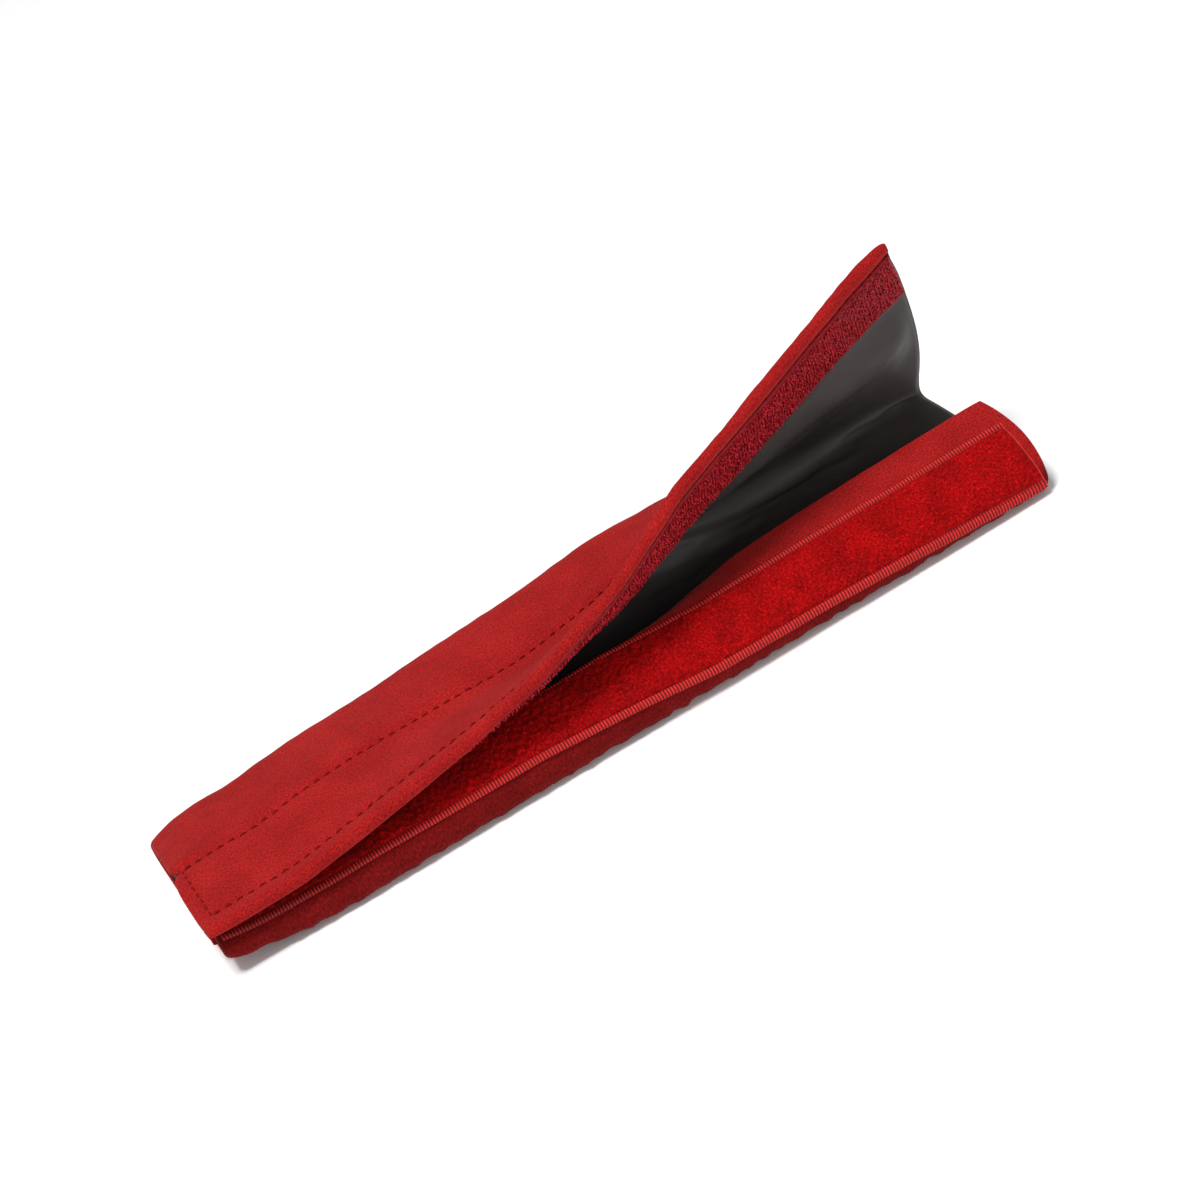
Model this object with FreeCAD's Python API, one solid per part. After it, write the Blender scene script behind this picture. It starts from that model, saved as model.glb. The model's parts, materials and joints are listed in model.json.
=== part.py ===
import FreeCAD, Part
import math
import os

# A padded fabric sleeve that wraps a webbing strap and closes along its length with
# hook-and-loop tape. It lies on its base with the opening to -Y and the back fold to +Y.
# X runs along the sleeve, Z is up, and the origin is the middle of the footprint.
# The back fold hinges the flap, and the rolled front edge hinges the lip. Both are
# cloth, so each is cut across into segments that turn by their own share of one peel.
# Millimetres and degrees.

LENGTH = 235.0          # end to end
LEFT = -LENGTH / 2

# Cloth sandwich
COVER = 0.8             # outer microsuede
LINING = 0.4            # smooth nylon inside
BASE_THICK = 3.4
FLAP_THICK = 3.0
LIP_THICK = 3.2
TAPE = 0.8              # hook or loop tape

# Section, measured before the whole is centred: y runs from the front roll to the fold.
FLAP_AXIS = (60.0, 13.5)     # (y, z) of the back fold's hinge line
FLAP_WIDTH = 59.5
HEM_WIDTH = 4.0              # folded edge in front of the hook tape
HOOK_WIDTH = 20.0
FOLD_START_Y = 55.0          # where the base turns up into the back fold
FOLD_RADIUS = 7.0            # outer radius of the back fold
HINGE_GAP = 0.3              # air between a fixed fold and what turns beside it

LIP_AXIS = (4.5, 5.3)        # (y, z) of the rolled front edge
LIP_ROLL = 4.5               # radius of the rolled edge, over the cover
LIP_REACH = 24.0             # from the roll's centre to the lip's free edge
LOOP_REACH = 13.0            # flat part of the loop tape; the rest wraps the roll
BASE_FRONT_Y = LIP_AXIS[0] + LIP_ROLL + TAPE + HINGE_GAP

CENTRE_Y = 30.6              # middle of the section, from the loop tape to the fold

# The peel: how far the flap and the lip stand open, as it is left lying
SEAM_GAP = 0.6               # between neighbouring segments
FLAP_CUTS = (-117.5, -73.5, -39.5, -9.5, 18.5, 45.5, 71.5, 96.5, 117.5)
LIP_CUTS = (-117.5, -39.5, 18.5, 71.5, 117.5)
END_ANGLE = 68.0             # flap at the open end
PEEL_FROM = -95.0            # the flap is shut from the left end to here
SHUT_SHARE = 0.03            # a fastened segment still gives this share
LIP_ANGLES = (4.0, 18.0, 26.0, 27.0)


def peel_share(x):
    """The flap's opening at x as a share of the opening at the right end."""
    along = max(0.0, (x - PEEL_FROM) / (LENGTH / 2 - PEEL_FROM))
    return max(SHUT_SHARE, along ** 1.4 * (1.15 - 0.15 * along))


def outline(points):
    """A face in the YZ plane through (y, z) points."""
    ring = [FreeCAD.Vector(0, y, z) for y, z in points]
    return Part.Face(Part.makePolygon(ring + ring[:1]))


def slab(y0, y1, z0, z1):
    return outline([(y0, z0), (y1, z0), (y1, z1), (y0, z1)])


def sector(centre, inner, outer, start, end):
    """A ring sector in the YZ plane, with angles from +Y towards +Z."""
    def at(radius, angle):
        a = math.radians(angle)
        return FreeCAD.Vector(0, centre[0] + radius * math.cos(a), centre[1] + radius * math.sin(a))

    middle = (start + end) / 2
    edges = [Part.Arc(at(outer, start), at(outer, middle), at(outer, end)).toShape()]
    if inner > 0:
        edges.append(Part.makeLine(at(outer, end), at(inner, end)))
        edges.append(Part.Arc(at(inner, end), at(inner, middle), at(inner, start)).toShape())
        edges.append(Part.makeLine(at(inner, start), at(outer, start)))
    else:
        edges.append(Part.makeLine(at(outer, end), at(0, 0)))
        edges.append(Part.makeLine(at(0, 0), at(outer, start)))
    return Part.Face(Part.Wire(edges))


def along_x(faces, x0, x1):
    """Extrudes touching YZ faces from x0 to x1 as one solid."""
    bodies = [f.extrude(FreeCAD.Vector(x1 - x0, 0, 0)) for f in faces]
    whole = bodies[0]
    for body in bodies[1:]:
        whole = whole.fuse(body)
    whole = whole.removeSplitter()
    whole.translate(FreeCAD.Vector(x0, 0, 0))
    return whole.Solids[0] if len(whole.Solids) == 1 else whole


def turned(shape, axis, angle):
    """Turns a shape about a line along X; a positive angle lifts what lies to +Y."""
    turned_shape = shape.copy()
    turned_shape.rotate(FreeCAD.Vector(0, axis[0], axis[1]), FreeCAD.Vector(1, 0, 0), angle)
    return turned_shape


def save(name, shape):
    placed = shape.copy()
    placed.translate(FreeCAD.Vector(0, -CENTRE_Y, 0))
    assert placed.isValid(), name
    placed.exportStep("parts/" + name + ".step")


def base_panel():
    """The floor of the sleeve: cover under foam under lining."""
    right = -LEFT
    foam_top = BASE_THICK - LINING
    front_wrap = slab(BASE_FRONT_Y, BASE_FRONT_Y + COVER, 0, BASE_THICK)
    floor = slab(BASE_FRONT_Y, FOLD_START_Y, 0, COVER)
    save("base_cover", along_x([floor, front_wrap], LEFT, right))
    inside = BASE_FRONT_Y + COVER
    save("base_foam", along_x([slab(inside, FOLD_START_Y, COVER, foam_top)], LEFT, right))
    save("base_lining", along_x([slab(inside, FOLD_START_Y, foam_top, BASE_THICK)], LEFT, right))


def back_fold():
    """The base turns up into a standing wall that carries the flap's hinge line."""
    right = -LEFT
    centre = (FOLD_START_Y, FOLD_RADIUS)
    wall_top = FLAP_AXIS[1] - FLAP_THICK / 2 - HINGE_GAP
    radii = {
        "fold_cover": (FOLD_RADIUS - COVER, FOLD_RADIUS),
        "fold_foam": (FOLD_RADIUS - BASE_THICK + LINING, FOLD_RADIUS - COVER),
        "fold_lining": (FOLD_RADIUS - BASE_THICK, FOLD_RADIUS - BASE_THICK + LINING),
    }
    for name, (inner, outer) in radii.items():
        bend = sector(centre, inner, outer, 270, 360)
        wall = slab(centre[0] + inner, centre[0] + outer, centre[1], wall_top)
        save(name, along_x([bend, wall], LEFT, right))


def flap_segment(number, x0, x1, angle):
    """One crosswise piece of the flap, drawn shut and then turned up about the fold."""
    root, mid = FLAP_AXIS
    front = root - FLAP_WIDTH
    top = mid + FLAP_THICK / 2
    under = mid - FLAP_THICK / 2
    foam_top = top - COVER
    foam_under = under + LINING
    hem = front + COVER
    pieces = {
        "flap_cover": [slab(front, root, foam_top, top), slab(front, hem, under, top)],
        "flap_foam": [slab(hem, root, foam_under, foam_top)],
        "flap_lining": [slab(hem, root, under, foam_under)],
        "hook_tape": [slab(front + HEM_WIDTH, front + HEM_WIDTH + HOOK_WIDTH, under - TAPE, under)],
    }
    for name, faces in pieces.items():
        shut = along_x(faces, x0, x1)
        save("%s_%d" % (name, number), turned(shut, FLAP_AXIS, -angle))


def lip_segment(number, x0, x1, angle):
    """One crosswise piece of the lip with its rolled edge, drawn flat and then lifted."""
    y, z = LIP_AXIS
    top = z + LIP_ROLL
    under = top - LIP_THICK
    free = y + LIP_REACH
    core = LIP_ROLL - COVER
    pieces = {
        "lip_cover": [
            slab(y, free, top - COVER, top),
            slab(free - COVER, free, under, top),
            sector(LIP_AXIS, core, LIP_ROLL, 90, 255),
        ],
        "lip_foam": [
            slab(y, free - COVER, under + LINING, top - COVER),
            sector(LIP_AXIS, 0, core, 90, 255),
        ],
        "lip_lining": [slab(y, free - COVER, under, under + LINING)],
        "loop_tape": [
            slab(y, y + LOOP_REACH, top, top + TAPE),
            sector(LIP_AXIS, LIP_ROLL, LIP_ROLL + TAPE, 90, 180),
        ],
    }
    for name, faces in pieces.items():
        flat = along_x(faces, x0, x1)
        save("%s_%d" % (name, number), turned(flat, LIP_AXIS, angle))


def main():
    os.makedirs("parts", exist_ok=True)
    base_panel()
    back_fold()
    last = len(FLAP_CUTS) - 1
    for number in range(1, last + 1):
        x0, x1 = FLAP_CUTS[number - 1:number + 1]
        # The last segment takes the angle of the sleeve's very end.
        share_at = (x0 + x1) / 2 if number < last else x1
        angle = END_ANGLE * peel_share(share_at)
        left = x0 + SEAM_GAP / 2 if number > 1 else x0
        right = x1 - SEAM_GAP / 2 if number < last else x1
        flap_segment(number, left, right, angle)
    for number, angle in enumerate(LIP_ANGLES, 1):
        x0, x1 = LIP_CUTS[number - 1:number + 1]
        left = x0 + SEAM_GAP / 2 if number > 1 else x0
        right = x1 - SEAM_GAP / 2 if number < len(LIP_ANGLES) else x1
        lip_segment(number, left, right, angle)


main()
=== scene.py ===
"""A padded strap sleeve in red micro-suede, lying half open: the looks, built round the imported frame."""

import json
import math

import bmesh
import bpy
import numpy as np
from mathutils import Matrix, Vector


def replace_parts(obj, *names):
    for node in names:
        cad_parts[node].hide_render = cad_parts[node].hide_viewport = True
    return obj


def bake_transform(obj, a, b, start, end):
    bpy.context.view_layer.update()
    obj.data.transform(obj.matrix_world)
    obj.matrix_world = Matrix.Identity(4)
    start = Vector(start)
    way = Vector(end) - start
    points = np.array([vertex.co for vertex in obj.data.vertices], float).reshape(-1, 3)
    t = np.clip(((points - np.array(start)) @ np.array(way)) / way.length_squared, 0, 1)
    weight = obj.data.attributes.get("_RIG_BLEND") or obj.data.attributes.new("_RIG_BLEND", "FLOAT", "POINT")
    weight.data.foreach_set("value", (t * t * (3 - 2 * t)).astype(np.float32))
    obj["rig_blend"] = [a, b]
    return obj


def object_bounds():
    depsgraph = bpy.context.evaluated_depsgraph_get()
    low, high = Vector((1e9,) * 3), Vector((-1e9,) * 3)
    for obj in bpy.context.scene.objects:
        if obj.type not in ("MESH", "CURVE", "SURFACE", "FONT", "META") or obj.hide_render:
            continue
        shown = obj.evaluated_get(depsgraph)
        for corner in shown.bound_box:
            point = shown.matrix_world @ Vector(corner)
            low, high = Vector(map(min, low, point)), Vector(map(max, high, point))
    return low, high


MM = 0.001

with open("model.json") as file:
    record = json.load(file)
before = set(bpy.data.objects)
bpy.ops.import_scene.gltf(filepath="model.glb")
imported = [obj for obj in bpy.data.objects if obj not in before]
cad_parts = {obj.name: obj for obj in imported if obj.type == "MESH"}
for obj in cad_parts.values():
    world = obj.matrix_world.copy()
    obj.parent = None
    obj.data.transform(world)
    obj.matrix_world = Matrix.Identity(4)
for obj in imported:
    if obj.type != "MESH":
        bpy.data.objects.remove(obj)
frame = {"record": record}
cad_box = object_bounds()


def joint(name):
    return next(j for j in frame["record"]["behaviour"]["joints"] if j["name"] == name)


# Driving dimensions, in millimetres. A section is drawn with y from the rolled front edge
# to the back fold and z up, and is moved into the frame's place when a mesh is made.
HALF = (cad_box[1][0] - cad_box[0][0]) / 2 / MM
FLAP_RANGE = -joint("flap_opening")["range_deg"][0]   # from shut to the rest pose
LIP_RANGE = -joint("lip_fold_4")["range_deg"][0]
LIP_PIVOT = (4.5, 5.3)                                # (y, z) of the front roll's centre
MOVE_Y = joint("lip_fold_4")["pos_m"][1] / MM - LIP_PIVOT[0]

PAD = 1.6           # half the thickness of a padded layer
LIP_PAD = 1.5
CLOTH = 0.8         # suede
LINING = 0.4
BACK = 62.4         # middle of the cloth at the back fold
PIVOT = (59.0, 13.5)         # the free edge swings about this (y, z)
SEAM_Y = 10.0       # where the sleeve's cloth meets the lip's, on the underside
FLOOR_FROM = 4.0    # the sleeve's cloth is worked out this far forward, past the seam
HEM = 4.0           # width of the hem on the flap's inner side
HOOK = (3.8, 24.4)  # the hook tape, from the free edge
STRIP = 24.5        # the flap is stiff from its free edge to the end of the hook tape
ROWS = (6.0, 29.5)  # stitch rows on the flap's outer side, from the free edge
CROSS_X = -114.8    # the cross row at the shut end
STITCH = (3.1, 1.9, 0.24)    # pitch, length, thread radius
LIP_REACH = 11.0    # from the lip's ridge to its free edge
LOOP = (-17.6, 0.0)          # the loop tape, from the ridge
LIP_FLOOR = 4.2     # where the lip's cloth turns up from the floor
RIB_PITCH = 0.83    # ribs of the loop tape's selvedges
SELVEDGE = 1.6
TAPE_WIDTH = 20.0   # the loop tape laid flat
COVERED = (-112, -45)        # stretch of x over which the loop tape comes out from under the flap, and its painted shade fades out
FOAM_INSET = 2.2    # from the cover's ends
FLAPS, LIPS = 8, 4  # CAD's segments of the flap and of the lip


def ease(x, *knots, blur=9.0):
    """A soft curve through (place, value) pairs."""
    places, values = zip(*knots)
    offsets = np.linspace(-1, 1, 15)
    weights = (1 - offsets ** 2) ** 2
    weights /= weights.sum()
    x = np.asarray(x, float)
    return sum(w * np.interp(x + o * blur, places, values) for w, o in zip(weights, offsets))


def ramp(t):
    t = np.clip(t, 0, 1)
    return t * t * (3 - 2 * t)


def chord_angle(x):
    """How far the flap is peeled up, in degrees."""
    return ease(x, (-118, -0.5), (-92, -0.1), (-74, 2.6), (-45, 7.7), (-19, 13.7), (8, 23), (35, 35.7),
                (67, 46.4), (101, 59.4), (118, 65.5))


def chord_length(x):
    return ease(x, (-118, 58.7), (0, 59.4), (67, 58.8), (118, 57.6))


def strip_angle(x):
    """Slope of the stiff strip along the free edge."""
    return ease(x, (-118, -8), (-80, -6), (-55, 3), (-35, 13), (-15, 24.5), (-5, 29.5), (5, 34), (20, 39.5),
                (35, 43.5), (50, 45), (85, 48), (118, 51))


def shut_angle(x):
    return ease(x, (-118, -1.6), (0, 0), (118, 0))


def fold_radius(x):
    """Radius of the back fold, which the end seams pinch."""
    return ease(x, (-119, 2.2), (-113, 4.2), (-109, 5.2), (-102, 6.4), (-87, 7.6), (-57, 8.6), (-27, 9.7),
                (4, 11.2), (20, 11.8), (38, 11.6), (60, 8.6), (80, 6.2), (100, 4.5), (119, 2.4), blur=6.0)


def ground(x):
    """The shut end is bent up off the table."""
    return ease(x, (-120, 6.0), (-117, 4.9), (-113, 3.2), (-105, 1.6), (-96, 0.3), (-90, 0), blur=4.0)


def rise(x, y):
    """The underside bends up toward the back near the open end, where the lifted flap pulls on it."""
    t = np.clip((y - 8) / (BACK - 8), 0, 1)
    return ease(x, (30, 0), (60, 2.5), (80, 5), (100, 7.6), (119, 8.8)) * (1 - (1 - t) ** 2) * ramp(t * 4)


def lip_angle(x):
    """How far the lip is peeled up, in degrees."""
    return ease(x, (-118, 2), (-90, 4), (-60, 8), (-25, 16), (9, 26), (118, 26))


def ridge(x):
    """Place and slope of the cloth at the lip's ridge, where the loop tape ends."""
    y = ease(x, (-118, 13.4), (-20, 12.6), (15, 12.8), (60, 13.8), (118, 13.9))
    z = ease(x, (-119, 9.7), (-112, 8.8), (-105, 8.2), (-90, 8.2), (-79, 8.6), (-60, 9.8), (-27, 13.0),
             (0, 14.1), (20, 14.1), (60, 14.9), (118, 15.3), blur=6.0)
    slope = ease(x, (-118, -4), (-80, 1), (-60, 3), (-27, 8), (0, 12), (20, 15), (60, 21), (118, 23))
    return y, z, slope


def droop(x):
    """How far the free part of the lip bends down past the ridge, in degrees."""
    return ease(x, (-118, 0), (-90, 5), (-60, 22), (-30, 44), (0, 62), (10, 56), (20, 43), (40, 19), (60, 11),
                (80, 8), (118, 2))


def pinch(x):
    """The end seams flatten the foam over the last few millimetres."""
    return 0.52 + 0.48 * (1 - np.exp(-np.maximum(HALF - np.abs(x), 0) / 3.6))


def pulled_back(x, back):
    """The lifted free edge draws toward the shut end, as its cloth doesn't stretch."""
    reach = np.clip(1 - back / STRIP, 0, 1)
    bow = 1.5 * np.sin(math.pi * np.clip((back - 8) / 46, 0, 1)) * np.exp(-(HALF - x).clip(0) / 14)
    return bow - 5.0 * reach ** 1.2 * np.maximum((x + 95) / 212.5, 0) ** 1.9


def rumple(a, b, size, seed, stretch=1.0, waves=16):
    """Soft unevenness of about one unit, with wrinkles of the given size."""
    rng = np.random.default_rng(seed)
    total = np.zeros(np.broadcast(a, b).shape)
    for _ in range(waves):
        turn = rng.uniform(0, 2 * math.pi)
        k = 2 * math.pi / size * rng.uniform(0.55, 1.7)
        phase = rng.uniform(0, 2 * math.pi)
        total += np.sin(k * (a / stretch * math.cos(turn) + b * math.sin(turn)) + phase)
    return total / math.sqrt(waves)


class Sheet:
    """A bent sheet, looked up by (x, v), where v runs across it. It gives places and headings."""

    def __init__(self, xs, vs, y, z):
        self.xs, self.vs, self.y, self.z = xs, vs, y, z
        dy, dz = np.gradient(y, axis=1), np.gradient(z, axis=1)
        length = np.hypot(dy, dz)
        self.ny, self.nz = -dz / length, dy / length

    def at(self, x, v, n):
        fx = np.clip((x - self.xs[0]) / (self.xs[1] - self.xs[0]), 0, len(self.xs) - 1.001)
        fv = np.clip((v - self.vs[0]) / (self.vs[1] - self.vs[0]), 0, len(self.vs) - 1.001)
        i, j = fx.astype(int), fv.astype(int)
        a, b = fx - i, fv - j

        def pick(table):
            return ((table[i, j] * (1 - a) + table[i + 1, j] * a) * (1 - b)
                    + (table[i, j + 1] * (1 - a) + table[i + 1, j + 1] * a) * b)

        return pick(self.y) + n * pick(self.ny), pick(self.z) + n * pick(self.nz)


STATIONS = np.arange(-120, 120.5, 0.5)


def sleeve_section(x):
    """The middle of the cloth at one x, from the free edge back to the floor's front, the length along
    it, and how far along it the back fold and the floor start."""
    radius, mid = float(fold_radius(x)), PAD * float(pinch(x))
    t = np.linspace(0, 1, 70)
    y = FLOOR_FROM + (BACK - radius - FLOOR_FROM) * t
    floor = np.stack([y, mid + float(ground(x)) + rise(x, y)], 1)
    centre = floor[-1] + [0, radius]
    chord, slope = math.radians(float(chord_angle(x))), math.radians(float(strip_angle(x)))
    edge = PIVOT + float(chord_length(x)) * np.array([-math.cos(chord), math.sin(chord)])
    inner = edge + STRIP * np.array([math.cos(slope), -math.sin(slope)])
    away = inner - centre
    reach = math.hypot(*away)
    turn = (math.atan2(away[1], away[0]) + math.asin(radius / reach)) % (2 * math.pi)
    arc = centre + radius * np.stack([np.sin(turn * t), -np.cos(turn * t)], 1)
    flap = arc[-1] + (inner - arc[-1]) * t[:, None]
    # Between the fold and the stiff strip the cloth bows a little.
    bow = float(ease(x, (-118, 0.3), (-85, 0.8), (-30, 0.6), (40, -0.4), (80, -1.5), (118, -3.2)))
    heading = (inner - arc[-1]) / np.hypot(*(inner - arc[-1]))
    flap = flap + np.array([heading[1], -heading[0]]) * (bow * np.sin(math.pi * t))[:, None]
    strip = inner + (edge - inner) * t[:, None]
    line = soften(np.concatenate([floor, arc[1:], flap[1:], strip[1:]])[::-1])
    along = np.concatenate([[0], np.cumsum(np.hypot(*np.diff(line, axis=0).T))])
    total = along[-1]
    floor_length = np.hypot(*np.diff(floor, axis=0).T).sum()
    return line, along, total - floor_length - radius * turn, total - floor_length


def soften(line, width=5.0):
    """Rounds the corners of a line over the given length, and keeps its ends."""
    along = np.concatenate([[0], np.cumsum(np.hypot(*np.diff(line, axis=0).T))])
    even = np.linspace(0, along[-1], 400)
    y, z = (np.interp(even, along, line[:, i]) for i in (0, 1))
    half = int(width / (even[1] - even[0]))
    kernel = np.hanning(2 * half + 3)[1:-1]
    kernel /= kernel.sum()
    made = []
    for values in (y, z):
        # Mirrored through the end points, so that the ends stay where they are.
        before = 2 * values[0] - values[half:0:-1]
        after = 2 * values[-1] - values[-2:-half - 2:-1]
        made.append(np.convolve(np.concatenate([before, values, after]), kernel, "valid"))
    return np.stack(made, 1)


def make_sleeve():
    """The sleeve's sheet, and at each station its girth and where its flap ends and its floor starts."""
    vs = np.arange(0, 155, 0.5)
    spare = 60      # past the floor's front the sheet goes straight on
    ys, zs, measures = [], [], []
    for x in STATIONS:
        line, along, flap_end, floor_at = sleeve_section(x)
        measures.append((along[-1] - (SEAM_Y - FLOOR_FROM), flap_end, floor_at))
        line = np.vstack([line, line[-1] - [spare, 0]])
        along = np.append(along, along[-1] + spare)
        ys.append(np.interp(vs, along, line[:, 0]))
        zs.append(np.interp(vs, along, line[:, 1]))
    return Sheet(STATIONS, vs, np.array(ys), np.array(zs)), *np.array(measures).T


SLEEVE, GIRTH, FLAP_END, FLOOR_AT = make_sleeve()


def girth(x):
    """Length of the sheet from the free edge round to the underside's seam."""
    return np.interp(x, STATIONS, GIRTH)


def swing(x, back):
    """Share of the flap's swing, so that the flap lies flat once it is shut."""
    start, end = np.interp(x, STATIONS, FLAP_END), np.interp(x, STATIONS, FLOOR_AT)
    y, z = SLEEVE.at(x, np.minimum(back, start - 12), 0)
    turned = np.degrees(np.arctan2(z - PIVOT[1], PIVOT[0] - y))
    flat = shut_angle(x) + (3 - shut_angle(x)) * ramp(back / STRIP)
    lift = np.clip((turned - flat) / FLAP_RANGE, 0, 1) * ramp((x + 102) / 30)
    return lift * (1 - ramp((back - start + 1.5) / (end - start + 1.5)))


def sleeve(x, back, n):
    """A point of the sleeve and its share of the flap's swing."""
    y, z = SLEEVE.at(x, back, n)
    return np.stack([x + pulled_back(x, back), y, z], -1), swing(x, back)


def lip_section(x):
    """The middle of the lip's cloth at one x, from the underside's seam round the front to the free edge,
    and the length along it at the ridge and at the floor's end."""
    low = float(ground(x)) + LIP_PAD * float(pinch(x))
    y, z, slope = (float(value) for value in ridge(x))
    slope = math.radians(slope)
    bulge = float(ease(x, (-118, 1.2), (-80, -1.8), (-27, 0.8), (20, 1.2), (118, 1.2)))
    foot = float(ease(x, (-118, 0.3), (-80, -1.2), (-50, -2.0), (-20, -3.0), (20, -3.9), (100, -3.6),
                      (118, -2.6)))
    control = np.array([(LIP_FLOOR, low), (foot, low), (bulge, z - (y - bulge) * math.tan(slope)), (y, z)])
    t = np.linspace(0, 1, 90)[:, None]
    front = ((1 - t) ** 3 * control[0] + 3 * t * (1 - t) ** 2 * control[1] + 3 * t ** 2 * (1 - t) * control[2]
             + t ** 3 * control[3])
    spare, step = 40, 0.25
    past = np.arange(step, spare, step)
    heading = slope - math.radians(float(droop(x))) * ramp(past / 8)
    free = front[-1] + np.cumsum(np.stack([np.cos(heading), np.sin(heading)], 1) * step, 0)
    line = np.vstack([[(LIP_FLOOR + spare, low)], front, free])
    along = np.concatenate([[0], np.cumsum(np.hypot(*np.diff(line, axis=0).T))])
    return line, along, along[len(front)], along[1]


def make_lip():
    """The lip: v is measured from the ridge to the free edge, and is negative down the front and back
    along the floor."""
    vs = np.arange(-44, 30, 0.25)
    ys, zs, floors = [], [], []
    for x in STATIONS:
        line, along, top, bottom = lip_section(x)
        ys.append(np.interp(vs, along - top, line[:, 0]))
        zs.append(np.interp(vs, along - top, line[:, 1]))
        floors.append(bottom - top)
    return Sheet(STATIONS, vs, np.array(ys), np.array(zs)), np.array(floors)


LIP, FLOOR_V = make_lip()


def front_foot(x):
    """v where the lip's cloth leaves the floor."""
    return np.interp(x, STATIONS, FLOOR_V)


def lip(x, v, n):
    """A point of the lip and its share of the lip's swing."""
    y, z = LIP.at(x, v, n)
    flat_y, flat_z = LIP.at(x, np.maximum(v, 0), 0)
    radius = np.hypot(flat_y - LIP_PIVOT[0], flat_z - LIP_PIVOT[1])
    turned = np.degrees(np.arctan2(flat_z - LIP_PIVOT[1], flat_y - LIP_PIVOT[0])
                        - np.arcsin(np.clip(3.4 / radius, -1, 1)))
    free = np.clip(turned, 0, lip_angle(x)) / LIP_RANGE
    lift = lip_angle(x) / LIP_RANGE
    lift = lift + (free - lift) * ramp(v / 9)
    return np.stack([x + 0 * y, y, z], -1), lift * ramp((v - front_foot(x) + 1.0) / 8.0)


# Meshes


def mesh_object(name, points, faces, weights, cloth, material, group):
    """One piece in metres, blended across its group's joint. cloth is each point's place on the flat
    cloth in millimetres, which the materials read, so that a pattern stays on its cloth when it moves."""
    mesh = bpy.data.meshes.new(name)
    placed = (np.asarray(points, float) + [0, MOVE_Y, 0]) * MM
    placed[:, 2] = np.maximum(placed[:, 2], 0)      # the cloth is pressed flat on the table
    mesh.from_pydata(placed.tolist(), [], faces)
    mesh.attributes.new("cloth", "FLOAT_VECTOR", "POINT").data.foreach_set(
        "vector", np.asarray(cloth, np.float32).ravel())
    made = bmesh.new()
    made.from_mesh(mesh)
    bmesh.ops.recalc_face_normals(made, faces=made.faces)
    made.to_mesh(mesh)
    made.free()
    mesh.polygons.foreach_set("use_smooth", [True] * len(mesh.polygons))
    mesh.materials.append(material)
    piece = bpy.data.objects.new(name, mesh)
    bpy.context.scene.collection.objects.link(piece)
    child = "flap_%d" % FLAPS if group == "flap" else "lip_%d" % LIPS
    # The blend's own weights give way to each point's share of the swing.
    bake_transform(piece, "base", child, start=(0, 0, 0), end=(0, 0, HALF * MM))
    mesh.attributes["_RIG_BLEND"].data.foreach_set("value", np.clip(weights, 0, 1).astype(np.float32))
    return piece


def grid_faces(rows, columns, offset=0, flip=False):
    i, j = np.meshgrid(np.arange(rows - 1), np.arange(columns - 1), indexing="ij")
    a = offset + i * columns + j
    quads = np.stack([a, a + 1, a + columns + 1, a + columns], -1).reshape(-1, 4)
    return (quads[:, ::-1] if flip else quads).tolist()


def shell(name, outer, inner, cloth, material, group):
    """A closed piece between two grids, each a (points, weights) pair."""
    rows, columns = outer[0].shape[:2]
    count = rows * columns
    grid = np.arange(count).reshape(rows, columns)
    edge = np.concatenate([grid[0], grid[1:, -1], grid[-1, -2::-1], grid[-2:0:-1, 0]])
    after = np.roll(edge, -1)
    faces = grid_faces(rows, columns) + grid_faces(rows, columns, count, flip=True)
    faces += np.stack([after, edge, edge + count, after + count], -1).tolist()
    points = np.concatenate([outer[0].reshape(-1, 3), inner[0].reshape(-1, 3)])
    weights = np.concatenate([outer[1].ravel(), inner[1].ravel()])
    flat = np.stack(np.broadcast_arrays(*cloth, 0.0), -1).reshape(-1, 3)
    return mesh_object(name, points, faces, weights, np.concatenate([flat, flat]), material, group)


class Run:
    """Places across a piece, with edges that may roll under. roll is 0 on the outer face, 1 at the rim
    and 2 on the inner face; flat is how far the cloth goes on from there."""

    def __init__(self, start, stop, step, rolls=(0, 0), radius=1.2, flat=(0, 0), fine=0.5):
        places, rolled, sides = [], [], []
        for side, (roll, extra) in enumerate(zip(rolls, flat)):
            sign = 1 if side == 0 else -1
            at = start if side == 0 else stop
            turn = np.linspace(roll, 0, 9)[:-1] if roll else np.array([])
            more = np.linspace(extra, 0, 6)[:-1] if extra else np.array([])
            places.append([at + 0 * t for t in np.concatenate([more, turn])])
            rolled.append(np.concatenate([roll + 0 * more, turn]))
            sides.append(sign * np.concatenate([more, 0 * turn]))
        self.radius = radius
        near = np.arange(0, 3, fine)
        a = start + (radius if rolls[0] else 0)
        b = stop - (radius if rolls[1] else 0)
        middle = np.concatenate([a + near, np.linspace(a + 3, b - 3, int((b - a - 6) / step) + 1),
                                 (b - near)[::-1]])
        self.base = np.concatenate([places[0], middle, places[1][::-1]])
        self.roll = np.concatenate([rolled[0], 0 * middle, rolled[1][::-1]])
        self.extra = np.concatenate([sides[0], 0 * middle, sides[1][::-1]])
        self.sign = np.concatenate([0 * rolled[0] + 1, 0 * middle, 0 * rolled[1] - 1])

    def places(self, inset=0.0):
        """Where the rows lie for a skin that is inset from the outer face."""
        curve = self.radius - (self.radius - inset) * np.sin(self.roll * math.pi / 2)
        return self.base + self.sign * np.where(self.roll > 0, curve, 0) + self.extra

    def cloth(self):
        """Where the rows lie on the flat cloth."""
        arc = self.radius * (1 - self.roll * math.pi / 2)
        return self.base + self.sign * np.where(self.roll > 0, arc, 0) - self.extra


def height(a, b):
    """Share of the thickness at each point of a grid: 1 outside, 0 at the rim, -1 inside."""
    return np.cos(np.maximum(a.roll[:, None], b.roll[None, :]) * math.pi / 2)


# Materials


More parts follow.
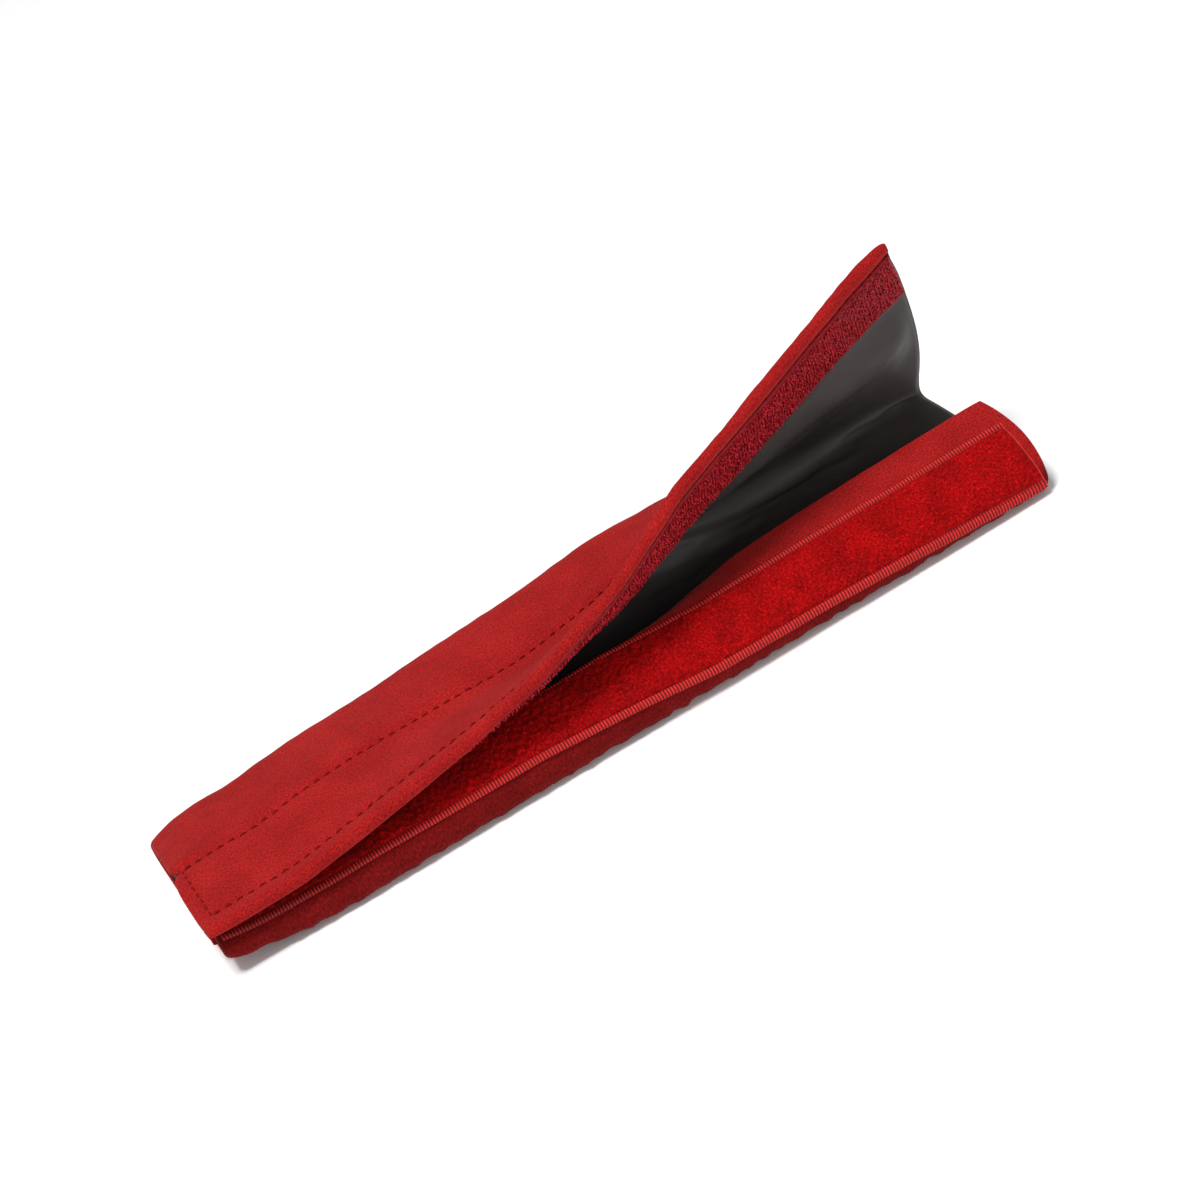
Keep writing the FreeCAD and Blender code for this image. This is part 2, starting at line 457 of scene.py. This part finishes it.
class Paint:
    """Builds a procedural material on a Principled shader. Patterns are measured in millimetres of cloth."""

    def __init__(self, name, roughness, **sockets):
        self.material = bpy.data.materials.new(name)
        self.material.use_nodes = True
        self.nodes, self.links = self.material.node_tree.nodes, self.material.node_tree.links
        self.shader = self.nodes["Principled BSDF"]
        self.shader.inputs["Roughness"].default_value = roughness
        for key, value in sockets.items():
            self.shader.inputs[key.replace("_", " ")].default_value = value
        self.place = self.nodes.new("ShaderNodeAttribute")
        self.place.attribute_name = "cloth"

    def noise(self, size, detail=3.0, rough=0.6, squeeze=(1, 1, 1)):
        """Noise with spots of the given size; squeeze narrows them along each way of the cloth."""
        scaled = self.nodes.new("ShaderNodeVectorMath")
        scaled.operation = "MULTIPLY"
        scaled.inputs[1].default_value = [s / size for s in squeeze]
        self.links.new(self.place.outputs["Vector"], scaled.inputs[0])
        node = self.nodes.new("ShaderNodeTexNoise")
        node.inputs["Scale"].default_value = 1.0
        node.inputs["Detail"].default_value = detail
        node.inputs["Roughness"].default_value = rough
        self.links.new(scaled.outputs[0], node.inputs["Vector"])
        return node.outputs["Fac"]

    def waves(self, pitch, way):
        """Ribs across one way of the cloth."""
        scaled = self.nodes.new("ShaderNodeVectorMath")
        scaled.operation = "MULTIPLY"
        scaled.inputs[1].default_value = [w * 2 * math.pi / pitch for w in way]
        self.links.new(self.place.outputs["Vector"], scaled.inputs[0])
        node = self.nodes.new("ShaderNodeTexWave")
        node.bands_direction = "DIAGONAL"
        node.inputs["Scale"].default_value = 0.1
        self.links.new(scaled.outputs[0], node.inputs["Vector"])
        return node.outputs["Fac"]

    def between(self, start, stop, along="X"):
        """0 to 1 between two places on the cloth: X is along the sleeve, Y across the cloth."""
        split = self.nodes.new("ShaderNodeSeparateXYZ")
        self.links.new(self.place.outputs["Vector"], split.inputs[0])
        node = self.nodes.new("ShaderNodeMapRange")
        node.inputs["From Min"].default_value, node.inputs["From Max"].default_value = start, stop
        self.links.new(split.outputs[along], node.inputs["Value"])
        return node.outputs["Result"]

    def ramp(self, value, *stops):
        node = self.nodes.new("ShaderNodeValToRGB")
        node.color_ramp.interpolation = "EASE"
        for index, (at, colour) in enumerate(stops):
            element = node.color_ramp.elements[index] if index < 2 else node.color_ramp.elements.new(at)
            element.position = at
            element.color = (*colour, 1)
        self.links.new(value, node.inputs["Fac"])
        return node.outputs["Color"]

    def times(self, colour, *others):
        """The product of colours."""
        for other in others:
            node = self.nodes.new("ShaderNodeMix")
            node.data_type, node.blend_type = "RGBA", "MULTIPLY"
            node.inputs[0].default_value = 1.0
            self.links.new(colour, node.inputs[6])
            self.links.new(other, node.inputs[7])
            colour = node.outputs[2]
        return colour

    def colour(self, socket):
        self.links.new(socket, self.shader.inputs["Base Color"])

    def rough(self, value, low, high):
        node = self.nodes.new("ShaderNodeMapRange")
        node.inputs["To Min"].default_value, node.inputs["To Max"].default_value = low, high
        self.links.new(value, node.inputs["Value"])
        self.links.new(node.outputs["Result"], self.shader.inputs["Roughness"])

    def bump(self, *layers):
        """layers are (value, depth in millimetres, strength)."""
        below = None
        for value, depth, strength in layers:
            node = self.nodes.new("ShaderNodeBump")
            node.inputs["Distance"].default_value = depth * MM
            node.inputs["Strength"].default_value = strength
            self.links.new(value, node.inputs["Height"])
            if below:
                self.links.new(below, node.inputs["Normal"])
            below = node.outputs["Normal"]
        self.links.new(below, self.shader.inputs["Normal"])


def rgb(red, green, blue):
    """A screen colour, 0 to 255, as the linear values that a shader takes."""
    def linear(c):
        c /= 255
        return c / 12.92 if c <= 0.04045 else ((c + 0.055) / 1.055) ** 2.4
    return tuple(linear(c) for c in (red, green, blue))


def suede_material(name, shaded_stretch=None):
    """The optional stretch across the cloth, in millimetres, is where painted shade fades out: below it, down
    the lip's front wall, the suede is painted darker.
    """
    paint = Paint(name, 0.95, Sheen_Weight=0.2, Sheen_Roughness=0.4, Sheen_Tint=(1.0, 0.25, 0.22, 1),
                  Specular_IOR_Level=0.1)
    nap = paint.ramp(paint.noise(16, 4, 0.65), (0.3, rgb(147, 20, 20)), (0.7, rgb(165, 28, 27)))
    grain = paint.ramp(paint.noise(0.55, 3, 0.8), (0.3, (0.44, 0.36, 0.36)), (0.7, (1.36, 1.42, 1.42)))
    layers = [nap, grain]
    if shaded_stretch:
        # Painted shade: the suede is darker down the lip's front wall, below the stretch.
        turned = paint.between(*shaded_stretch, along="Y")
        layers.append(paint.ramp(turned, (0, (0.47, 0.38, 0.42)), (1, (1, 1, 1))))
    paint.colour(paint.times(*layers))
    paint.bump((paint.noise(0.5, 3, 0.75), 0.2, 0.9), (paint.noise(2.6, 3, 0.6), 0.16, 0.5))
    return paint.material


def lining_material():
    paint = Paint("lining", 0.6, Specular_IOR_Level=0.25)
    tone = paint.ramp(paint.noise(30, 3, 0.5), (0.3, rgb(60, 55, 54)), (0.7, rgb(70, 65, 64)))
    weave = paint.ramp(paint.waves(0.3, (1, 1, 0)), (0, (0.9, 0.9, 0.9)), (1, (1.08, 1.08, 1.08)))
    paint.colour(paint.times(tone, weave))
    paint.rough(paint.noise(12, 3, 0.5), 0.5, 0.64)
    paint.bump((paint.noise(0.35, 2, 0.5), 0.05, 0.5), (paint.noise(7, 3, 0.5, (0.4, 1, 1)), 0.5, 0.35))
    return paint.material


def pile_material():
    paint = Paint("loop_pile", 0.9, Sheen_Weight=0.1, Sheen_Roughness=0.4, Sheen_Tint=(1.0, 0.1, 0.1, 1),
                  Specular_IOR_Level=0.08)
    tufts = paint.ramp(paint.noise(0.65, 4, 0.9), (0.32, rgb(70, 0, 3)), (0.5, rgb(152, 3, 5)),
                       (0.66, rgb(224, 20, 20)))
    patches = paint.ramp(paint.noise(8, 3, 0.6), (0.3, (0.72, 0.7, 0.7)), (0.7, (1.08, 1.05, 1.05)))
    # Painted shade: darker under the flap, as the deep shade there in the photo is more than the lights give.
    painted_shade = paint.ramp(paint.between(*COVERED), (0, (0.4, 0.4, 0.4)), (1, (1, 1, 1)))
    paint.colour(paint.times(tufts, patches, painted_shade))
    paint.bump((paint.noise(0.45, 3, 0.8), 0.3, 0.9),)
    return paint.material


def selvedge_material():
    paint = Paint("loop_selvedge", 0.75, Specular_IOR_Level=0.25)
    # Painted shade between the ribs: rib tops lighter, the gaps between them darker.
    ribs = paint.ramp(paint.waves(RIB_PITCH, (1, 0, 0)), (0.25, rgb(205, 42, 38)), (0.8, rgb(112, 4, 7)))
    yarn = paint.ramp(paint.noise(0.5, 3, 0.6, (1, 0.4, 1)), (0.3, (0.75, 0.7, 0.7)), (0.7, (1.1, 1.1, 1.1)))
    # Painted shade toward the shut end, under the flap, as on the pile.
    shaded = paint.ramp(paint.between(*COVERED), (0, (0.5, 0.4, 0.4)), (1, (1, 1, 1)))
    paint.colour(paint.times(ribs, yarn, shaded))
    paint.bump((paint.noise(0.3, 2, 0.6), 0.06, 0.5),)
    return paint.material


def hook_material(name, low, high):
    paint = Paint(name, 0.6, Specular_IOR_Level=0.25)
    paint.colour(paint.ramp(paint.noise(0.9, 3, 0.7), (0.35, low), (0.65, high)))
    paint.bump((paint.noise(0.4, 2, 0.6), 0.08, 0.6),)
    return paint.material


def thread_material():
    paint = Paint("thread", 0.85, Specular_IOR_Level=0.05)
    paint.colour(paint.ramp(paint.waves(0.35, (1, 1, 0)), (0, rgb(112, 11, 14)), (1, rgb(146, 20, 22))))
    return paint.material


def foam_material():
    paint = Paint("foam", 0.9)
    paint.colour(paint.ramp(paint.noise(1.0), (0.3, rgb(188, 184, 172)), (0.7, rgb(214, 210, 198))))
    paint.bump((paint.noise(0.8), 0.2, 0.6),)
    return paint.material


SUEDE, NYLON, PILE = suede_material("suede"), lining_material(), pile_material()
# The lip's front wall gets painted shade below this stretch of its cloth.
LIP_SUEDE = suede_material("suede_front", shaded_stretch=(-17.5, -13.0))
RIBBED, THREAD, FOAM = selvedge_material(), thread_material(), foam_material()
HOOK_RIBBON = hook_material("hook_ribbon", rgb(112, 4, 14), rgb(140, 10, 24))
HOOKS = hook_material("hooks", rgb(150, 8, 22), rgb(200, 34, 50))


# The sleeve: underside, back fold and flap in one run of cloth

REFERENCE = float(girth(0.0))


def fitted(x, back):
    """Stretches the floor part of a run, so that it ends at the underside's seam at every x."""
    return back + (girth(x) - REFERENCE) * ramp((back - 70) / 45)


def stitched(x, back):
    """How deep the stitch rows pull the cloth in, in millimetres."""
    pulled = 0.72 + 0.28 * np.cos(2 * math.pi * x / STITCH[0])
    rows = sum(np.exp(-((back - row) / 1.1) ** 2) for row in ROWS) * (x > CROSS_X - 1) * pulled
    inside = (back > ROWS[0] - 1) & (back < ROWS[1] + 1)
    cross = np.exp(-((x - CROSS_X) / 1.0) ** 2) * inside
    return 0.5 * np.maximum(rows, cross)


def puckers(x, back):
    """Short wrinkles that fan out of the notch at the shut end, and a softer set along the rows."""
    dx, db = x - CROSS_X, back - ROWS[1]
    away = np.hypot(dx, db) + 0.5
    fan = np.sin(5.5 * np.arctan2(db, dx) + 0.8) * np.exp(-away / 7) * ramp(away / 3)
    along_rows = sum(np.exp(-(np.abs(back - row) / 3.5)) for row in ROWS)
    groove = -0.9 * np.exp(-((db - 1.2 + 0.12 * dx) / 0.7) ** 2) * ramp((9 - dx) / 9)
    shoulder = 0.55 * np.exp(-((db - 4.5) / 2.4) ** 2) * ramp((12 - dx) / 12)
    return 0.45 * fan + groove + shoulder + 0.1 * along_rows * rumple(x, back, 5.5, 4, waves=10)


def notch(back):
    """The end rim is drawn in where the cross row meets the stitch row."""
    return 2.6 * np.exp(-((back - ROWS[1] - 1.4) / 1.7) ** 2) - 0.9 * np.exp(-((back - 13) / 13) ** 4)


def drawn_in(x, back):
    """x once the shut end's rim is drawn in at the notch."""
    return x + notch(back) * np.exp(-(HALF + x) / 5) * (x < 0)


def outer_face(x, back):
    """Height of the suede over the middle of the cloth."""
    taped = ramp((back - 3) / 4) * ramp((ROWS[1] + 4 - back) / 5)
    body = (PAD - 0.35 * taped) * pinch(x) + 0.25 * rumple(x, back, 34, 1, 1.6) + 0.06 * rumple(x, back, 9, 2)
    bead = 0.3 * np.exp(-((back - 2.2) / 1.8) ** 2)
    return np.maximum(body + bead - stitched(x, back) + puckers(x, back), 0.25)


def inner_face(x, back):
    """Depth of the padded layer under the middle of the cloth."""
    body = PAD * pinch(x) + 0.06 * rumple(x, back, 12, 3)
    start, end = (np.interp(x, STATIONS, table) for table in (FLAP_END, FLOOR_AT))
    round_fold = ramp((back - start + 4) / 4) * ramp((end + 4 - back) / 4)
    body = body + (np.minimum(body, 0.62 * fold_radius(x) - 0.2) - body) * round_fold
    return body - 0.45 * np.exp(-((back - HEM) / 0.7) ** 2)


def sleeve_skin(across, along, inset):
    """One skin of a sleeve piece: inset from the outer face and from the rims."""
    x, back = np.meshgrid(across.places(inset), along.places(inset), indexing="ij")
    share = height(across, along)
    x = drawn_in(x, back)
    flat = fitted(x, back)
    n = np.where(share > 0, share * np.maximum(outer_face(x, back) - inset, 0.1),
                 share * np.maximum(inner_face(x, back) - inset, 0.1))
    return sleeve(x, flat, n), np.meshgrid(across.cloth(), along.cloth(), indexing="ij")


def sleeve_cover():
    across = Run(-HALF, HALF, 1.1, rolls=(1.6, 1.6))
    along = Run(0, REFERENCE, 0.9, rolls=(2, 1.6), radius=1.5, flat=(HEM - 1.5, 0))
    outer, cloth = sleeve_skin(across, along, 0.0)
    inner, _ = sleeve_skin(across, along, CLOTH * 0.8)
    return shell("sleeve_cover", outer, inner, cloth, SUEDE, "flap")


def foam_fade(x, v, start, stop):
    """Foam thins over the last few millimetres before its edges."""
    edge = np.minimum(np.minimum(HALF - FOAM_INSET - np.abs(x), v - start), stop - v)
    return 0.25 + 0.75 * ramp(edge / 3)


def sleeve_foam():
    start, stop = 3, REFERENCE - 2
    across, along = Run(-HALF + FOAM_INSET, HALF - FOAM_INSET, 4), Run(start, stop, 2.5)
    x, back = np.meshgrid(across.places(), along.places(), indexing="ij")
    fade = foam_fade(x, back, start, stop)
    flat = fitted(x, back)
    outer = sleeve(drawn_in(x, back), flat, (outer_face(x, back) - CLOTH - 0.05) * fade)
    inner = sleeve(drawn_in(x, back), flat, -(inner_face(x, back) - LINING - 0.1) * fade)
    return shell("sleeve_foam", outer, inner, (x, back), FOAM, "flap")


def folds(x, back):
    """Loose folds of the lining, more where the sleeve gapes."""
    gape = 0.15 + 0.85 * ramp((x + 75) / 120)
    clear = ramp((back - HOOK[1]) / 8) * ramp((HALF - np.abs(x)) / 6)
    long_folds = rumple(x, back, 24, 8, stretch=3.0, waves=10)
    return gape * clear * (0.55 * long_folds + 0.12 * rumple(x, back, 9, 9, stretch=1.8))


def hang(x, back):
    """The lining hangs in one soft roll below the hook tape, where the flap is lifted."""
    lifted = ramp((x + 60) / 50) * ramp((HALF - x) / 10)
    return 2.4 * lifted * np.exp(-((back - HOOK[1] - 9) / 5.5) ** 2) * ramp((back - HOOK[1]) / 4)


def sleeve_lining():
    inset, start = 0.3, HEM + 0.5
    across = Run(-HALF + 0.9, HALF - inset, 1.1)
    along = Run(start, REFERENCE - inset, 0.9)
    x, back = np.meshgrid(across.places(), along.places(), indexing="ij")
    flat = fitted(x, back)
    edge = ramp((HALF - inset - np.abs(x)) / 1.6) * ramp(back - start)
    loose = folds(x, back)
    depth = inner_face(x, back) * (0.55 + 0.45 * edge) + 0.15 + (loose + np.sqrt(loose ** 2 + 0.1)) * edge
    depth = depth + hang(x, back)
    outer = sleeve(drawn_in(x, back), flat, -depth)
    inner = sleeve(drawn_in(x, back), flat, -depth - LINING)
    return shell("sleeve_lining", outer, inner, (x, back), NYLON, "flap")


def hook_base(x, back):
    """Depth of the flap's inner side where the hook tape lies."""
    return inner_face(x, back) + 0.2


def hook_tape():
    across, along = Run(-HALF + 2.6, HALF - 0.7, 1.2), Run(*HOOK, 0.8)
    x, back = np.meshgrid(across.places(), along.places(), indexing="ij")
    top = hook_base(x, back) + 0.75 + 0.08 * rumple(x, back, 2.2, 12)
    return shell("hook_tape", sleeve(x, back, -hook_base(x, back) + 0.2), sleeve(x, back, -top),
                 (x, back), HOOK_RIBBON, "flap")


def hooks():
    """Rows of stiff bent hooks, one small closed prism each."""
    rng = np.random.default_rng(21)
    xs = np.arange(-HALF + 3.4, HALF - 1.2, 1.0)
    backs = np.arange(HOOK[0] + 0.7, HOOK[1] - 0.3, 0.9)
    x, back = (a.ravel() for a in np.meshgrid(xs, backs, indexing="ij"))
    x = x + rng.uniform(-0.3, 0.3, x.size)
    back = back + rng.uniform(-0.3, 0.3, x.size)
    turn = rng.uniform(0, 2 * math.pi, x.size)
    tall = rng.uniform(0.65, 1.15, x.size)
    # Rings from foot to tip: (height, lean, half width)
    rings = [(0.0, 0.0, 0.30), (0.6, 0.05, 0.22), (0.95, 0.28, 0.26), (0.85, 0.55, 0.12)]
    points, weights, cloth = [], [], []
    for share, lean, wide in rings:
        for corner in range(4):
            spin = turn + corner * math.pi / 2
            px = x + lean * np.cos(turn) + wide * np.cos(spin)
            pb = back + lean * np.sin(turn) + wide * np.sin(spin)
            place, w = sleeve(px, pb, -(hook_base(x, back) + 0.6 + share * tall))
            points.append(place)
            weights.append(w)
            cloth.append(np.stack([px, pb, 0 * px], -1))
    return prisms("hooks", points, weights, cloth, len(rings), 4, HOOKS, "flap")


def prisms(name, points, weights, cloth, rings, sides, material, group):
    """Many small closed prisms in one mesh. points holds, for each ring and side, all prisms' corners."""
    per = rings * sides
    count = len(weights[0])
    points = np.stack(points, 1).reshape(-1, 3)
    weights = np.stack(weights, 1).ravel()
    cloth = np.stack(cloth, 1).reshape(-1, 3)
    one = [list(range(sides))[::-1], list(range(per - sides, per))]
    for ring in range(rings - 1):
        for side in range(sides):
            a, b = ring * sides + side, ring * sides + (side + 1) % sides
            one.append([a, b, b + sides, a + sides])
    faces = [[k * per + corner for corner in face] for k in range(count) for face in one]
    return mesh_object(name, points, faces, weights, cloth, material, group)


def stitches(name, rows, place, material, group):
    """Thread stitches that dive into the cloth at both ends. rows are (centre a, centre b, way) arrays,
    way 0 along x and 1 across; place(a, b, n) gives points and shares."""
    pitch, length, radius = STITCH
    a, b, way = (np.concatenate(list(values)) for values in zip(*rows))
    points, weights, cloth = [], [], []
    steps = np.linspace(-1, 1, 7)
    for t in steps:
        thick = radius * math.sqrt(max(1 - abs(t) ** 3, 0.12))
        for side in range(6):
            angle = side * math.pi / 3
            aside, up = thick * math.cos(angle), thick * math.sin(angle)
            pa = a + np.where(way == 0, t * length / 2, aside)
            pb = b + np.where(way == 0, aside, t * length / 2)
            point, w = place(pa, pb, 0.12 * (1 - t * t) - 0.12 + up)
            points.append(point)
            weights.append(w)
            cloth.append(np.stack([pa, pb, 0 * pa], -1))
    return prisms(name, points, weights, cloth, len(steps), 6, material, group)


def row(start, stop, at, way=0):
    """Stitch centres between start and stop along x (way 0) or across the cloth (way 1)."""
    run = np.arange(start + STITCH[0] / 2, stop, STITCH[0])
    fixed = np.full(run.size, float(at))
    return (run, fixed, 0 * run) if way == 0 else (fixed, run, 0 * run + 1)


def flap_stitching():
    def place(x, back, n):
        return sleeve(x, back, outer_face(x, back) + 0.22 + n)

    ends = (CROSS_X, HALF - 3)
    rows = [row(*ends, at) for at in ROWS] + [row(*ROWS, at, way=1) for at in ends]
    return stitches("flap_stitching", rows, place, THREAD, "flap")


def hem_stitching():
    def place(x, back, n):
        return sleeve(x, back, -(inner_face(x, back) + 0.25) - n)

    return stitches("hem_stitching", [row(-HALF + 3, HALF - 2, HEM - 0.7)], place, THREAD, "flap")


# The lip: the rolled front of the sleeve with the loop tape

LIP_BACK = float(front_foot(60.0)) - (SEAM_Y - LIP_FLOOR)


def slide(x):
    """The lip's cloth lies further round the front toward the open end."""
    return ease(x, (-118, 7.5), (-79, 7.1), (-60, 6.5), (-27, 5.0), (20, 1.3), (60, 0), (118, 0))


def lip_fitted(x, v):
    """Where cloth place v lies on the lip. The floor part stretches to end at the underside's seam."""
    end = front_foot(x) - (SEAM_Y - LIP_FLOOR)
    return v + slide(x) + (end - LIP_BACK - slide(x)) * ramp((LOOP[0] - 0.5 - v) / (LOOP[0] - 0.5 - LIP_BACK))


def lip_bulge(x, v):
    """The open end's rim bows out between its corners."""
    bow = 2.1 * np.sin(math.pi * np.clip((v + 20) / (LIP_REACH + 20), 0, 1)) ** 0.8 - 0.3
    return np.where(x > 0, bow * np.exp(-(HALF - x).clip(0) / 6), 0.8 * np.exp(-(HALF + x).clip(0) / 6))


def lip_outer(x, v):
    base_puckers = 0.22 * np.exp(-((v + 21) / 4) ** 2) * rumple(x, v, 6, 31, waves=12)
    return LIP_PAD * pinch(x) + 0.12 * rumple(x, v, 16, 30) + base_puckers


def lip_skin(across, along, inset):
    x, v = np.meshgrid(across.places(inset), along.places(inset), indexing="ij")
    share = height(across, along)
    x = x + lip_bulge(x, v)
    thick = np.maximum(np.where(share > 0, lip_outer(x, v), LIP_PAD * pinch(x)) - inset, 0.1)
    return lip(x, lip_fitted(x, v), share * thick), np.meshgrid(across.cloth(), along.cloth(), indexing="ij")


def lip_cover():
    across = Run(-HALF, HALF, 1.1, rolls=(1.6, 1.6))
    along = Run(LIP_BACK, LIP_REACH, 0.7, rolls=(1.6, 2), radius=1.2, flat=(0, 1.5))
    outer, cloth = lip_skin(across, along, 0.0)
    inner, _ = lip_skin(across, along, CLOTH * 0.8)
    return shell("lip_cover", outer, inner, cloth, LIP_SUEDE, "lip")


def lip_foam():
    start, stop = LIP_BACK + 2, LIP_REACH - 2
    across, along = Run(-HALF + FOAM_INSET, HALF - FOAM_INSET, 4), Run(start, stop, 1.6)
    x, v = np.meshgrid(across.places(), along.places(), indexing="ij")
    fade = foam_fade(x, v, start, stop)
    outer = lip(x, lip_fitted(x, v), (lip_outer(x, v) - CLOTH - 0.05) * fade)
    inner = lip(x, lip_fitted(x, v), -(LIP_PAD * pinch(x) - LINING - 0.1) * fade)
    return shell("lip_foam", outer, inner, (x, v), FOAM, "lip")


def lip_lining():
    end, stop = HALF - 0.9, LIP_REACH - 1.6
    across, along = Run(-HALF + 1.6, end, 1.2), Run(LIP_BACK + 0.3, stop, 0.7)
    x, v = np.meshgrid(across.places(), along.places(), indexing="ij")
    edge = ramp((end - np.abs(x)) / 1.4) * ramp(stop - v)
    depth = LIP_PAD * pinch(x) * (0.55 + 0.45 * edge) + 0.1 + 0.1 * rumple(x, v, 14, 33) * edge
    flat = lip_fitted(x, v)
    return shell("lip_lining", lip(x, flat, -depth), lip(x, flat, -depth - LINING), (x, v), NYLON, "lip")


LOOP_ENDS = (-HALF + 2.5, HALF - 2.0)


def tape_end(x, v):
    """The loop tape's open end is cut a little askew."""
    return x - 0.5 + (1.2 + 0.3 * np.clip(-v / 18, 0, 1)) * np.exp(-(HALF - x).clip(0) / 6)


def loop_edge(x, upper):
    """v of the loop tape's edge. It runs a little lower at the open end."""
    return slide(x) + (LOOP[1] if upper else LOOP[0] - 1.7 * ramp((x - 50) / 68))


def loop_run(x, t):
    """v across the loop tape, with t from its lower edge to its upper one."""
    return loop_edge(x, False) * (1 - t) + loop_edge(x, True) * t


def loop_ground(x, v):
    return LIP_PAD * pinch(x) + 0.12 * rumple(x, v, 16, 30)


def loop_tape():
    across, along = Run(*LOOP_ENDS, 1.2), np.linspace(0, 1, 30)
    x, t = np.meshgrid(across.places(), along, indexing="ij")
    v = loop_run(x, t)
    ground = loop_ground(x, v)
    place = tape_end(x, v)
    return shell("loop_tape", lip(place, v, ground + 0.5), lip(place, v, ground - 0.1), (x, v), RIBBED, "lip")


def loop_pile():
    """The fuzzy field between the selvedges: a dense sheet with its tufts as real bumps."""
    rng = np.random.default_rng(22)
    first, last = LOOP_ENDS[0] + 0.2, LOOP_ENDS[1] - 0.2
    margin = 0.085      # share of the tape's width that each selvedge takes
    x, t = np.meshgrid(np.arange(first, last, 0.42), np.linspace(margin, 1 - margin, 44), indexing="ij")
    v = loop_run(x, t)
    border = np.minimum(np.minimum(x - first, last - x),
                        np.minimum(t - margin, 1 - margin - t) * TAPE_WIDTH)
    tufts = 0.22 * rumple(x, v, 2.6, 23, waves=20) + rng.uniform(-0.22, 0.22, x.shape)
    top = loop_ground(x, v) + 0.55 + (0.55 + tufts) * ramp(border / 1.2 + 0.15)
    place = tape_end(x, v)
    return shell("loop_pile", lip(place, v, top), lip(place, v, loop_ground(x, v) + 0.3), (x, v), PILE, "lip")


def selvedge(name, upper):
    """A ribbed woven edge of the loop tape."""
    x = np.arange(LOOP_ENDS[0], LOOP_ENDS[1], RIB_PITCH / 6)
    across = np.linspace(0, SELVEDGE, 6)
    x, d = np.meshgrid(x, across, indexing="ij")
    v = loop_edge(x, upper) + (0.15 - d if upper else d - 0.15)
    rib = np.abs(np.cos(math.pi * x / RIB_PITCH)) ** 0.7
    dome = np.sqrt(np.clip(1 - (2 * d / SELVEDGE - 1) ** 4, 0, 1))
    top = loop_ground(x, v) + 0.35 + (0.3 + 0.32 * rib) * dome
    place = tape_end(x, v)
    return shell(name, lip(place, v, top), lip(place, v, loop_ground(x, v) + 0.2), (x, v), RIBBED, "lip")


def loop_stitching():
    def place(x, v, n):
        return lip(tape_end(x, v), v, loop_ground(x, v) + 0.8 + n)

    x, _, way = row(*LOOP_ENDS, 0)
    inset = SELVEDGE + 0.5
    upper, lower = (x, loop_edge(x, True) - inset, way), (x, loop_edge(x, False) + inset, way)
    return stitches("loop_stitching", [upper, lower], place, THREAD, "lip")


def numbered(count, *kinds):
    return ["%s_%d" % (kind, k) for kind in kinds for k in range(1, count + 1)]


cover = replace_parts(sleeve_cover(), "base_cover", "fold_cover", *numbered(FLAPS, "flap_cover"))
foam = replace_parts(sleeve_foam(), "base_foam", "fold_foam", *numbered(FLAPS, "flap_foam"))
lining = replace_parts(sleeve_lining(), "base_lining", "fold_lining", *numbered(FLAPS, "flap_lining"))
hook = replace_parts(hook_tape(), *numbered(FLAPS, "hook_tape"))
hook_field = hooks()
rows_out, rows_in = flap_stitching(), hem_stitching()
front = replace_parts(lip_cover(), *numbered(LIPS, "lip_cover"))
front_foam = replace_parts(lip_foam(), *numbered(LIPS, "lip_foam"))
front_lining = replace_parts(lip_lining(), *numbered(LIPS, "lip_lining"))
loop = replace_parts(loop_tape(), *numbered(LIPS, "loop_tape"))
pile, upper, lower = loop_pile(), selvedge("upper_selvedge", True), selvedge("lower_selvedge", False)
loop_rows = loop_stitching()


# Studio


def plane(name, size, material):
    mesh = bpy.data.meshes.new(name)
    corners = [(-size, -size, 0), (size, -size, 0), (size, size, 0), (-size, size, 0)]
    mesh.from_pydata(corners, [], [(0, 1, 2, 3)])
    mesh.materials.append(material)
    made = bpy.data.objects.new(name, mesh)
    bpy.context.scene.collection.objects.link(made)


def floor_material():
    made = bpy.data.materials.new("floor")
    made.use_nodes = True
    shader = made.node_tree.nodes["Principled BSDF"]
    shader.inputs["Base Color"].default_value = (0.92, 0.92, 0.92, 1)
    shader.inputs["Roughness"].default_value = 0.9
    shader.inputs["Specular IOR Level"].default_value = 0.1
    return made


def area_light(name, at, target, size, power):
    data = bpy.data.lights.new(name, "AREA")
    data.shape, data.size, data.energy = "DISK", size, power
    lamp = bpy.data.objects.new(name, data)
    lamp.location = at
    lamp.rotation_euler = (Vector(target) - Vector(at)).to_track_quat("-Z", "Y").to_euler()
    bpy.context.scene.collection.objects.link(lamp)


def studio():
    plane("floor", 6.0, floor_material())
    area_light("key", (-0.7, -0.2, 3.2), (0, 0.3, 0), 1.2, 100)
    area_light("fill", (0.15, -1.6, 0.6), (0.02, 0, 0.02), 0.6, 9)
    world = bpy.data.worlds.new("studio")
    world.use_nodes = True
    world.node_tree.nodes["Background"].inputs["Color"].default_value = (1, 1, 1, 1)
    world.node_tree.nodes["Background"].inputs["Strength"].default_value = 0.36
    bpy.context.scene.world = world
    bpy.context.scene.view_settings.view_transform = "Standard"


def camera():
    """The viewpoint: from the front and a little from the shut end, rolled so that the sleeve climbs."""
    azimuth, elevation, roll = (math.radians(angle) for angle in (-12.688, 26.33, -24.768))
    data = bpy.data.cameras.new("camera")
    data.sensor_width, data.lens = 36, 88.6
    made = bpy.data.objects.new("camera", data)
    made.location = (-0.13721, -0.6411, 0.34737)
    made.rotation_euler = (Matrix.Rotation(azimuth, 3, "Z") @ Matrix.Rotation(math.pi / 2 - elevation, 3, "X")
                           @ Matrix.Rotation(roll, 3, "Z")).to_euler()
    bpy.context.scene.collection.objects.link(made)
    bpy.context.scene.camera = made


studio()
camera()
